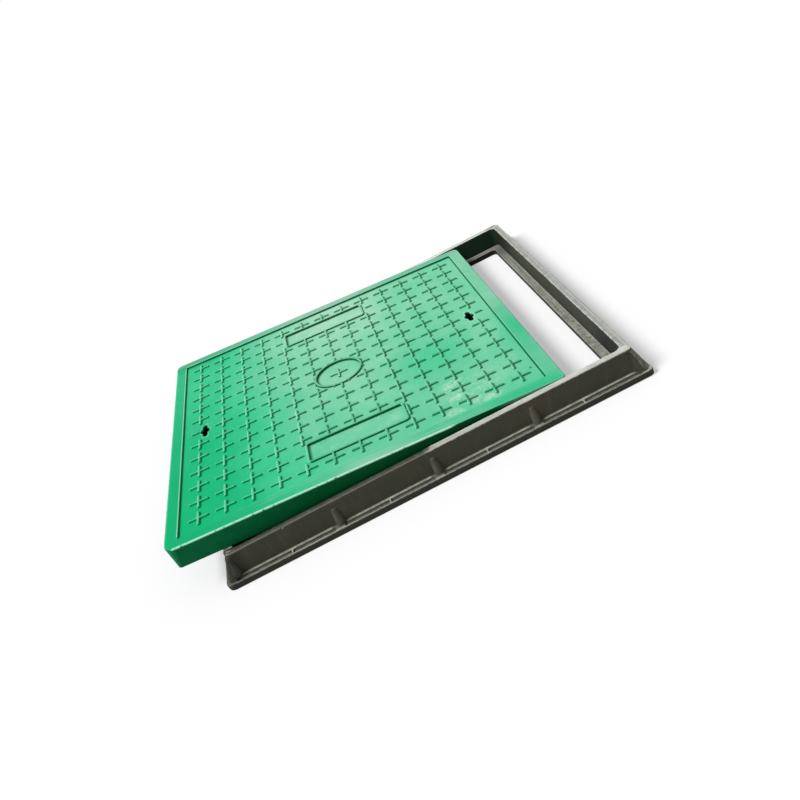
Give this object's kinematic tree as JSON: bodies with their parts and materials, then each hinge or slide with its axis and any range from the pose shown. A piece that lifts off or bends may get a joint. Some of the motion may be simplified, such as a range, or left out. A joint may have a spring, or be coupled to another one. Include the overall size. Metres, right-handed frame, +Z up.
{
  "type": "cable pit cover",
  "caption": "Square moulded cable pit cover with anti-slip crosses, two lifting-key holes and bare name plates, lying askew across its square moulded frame.",
  "frame": {"origin": "centre of the bounding box, on the level of the frame's underside", "axes": "+Z up out of the pit, +X towards the wall where the seat and opening are uncovered, +Y along that wall"},
  "size_m": [0.773, 0.72, 0.0939],
  "materials": {
    "green_moulding": "matt glass-fibre moulding, green right through, with pale scuffs",
    "charcoal_moulding": "matt glass-fibre moulding, charcoal, worn grey on its rim, seat and flange"
  },
  "bodies": {
    "root": {"cover": "green_moulding", "frame": "charcoal_moulding"}
  },
  "joints": []
}
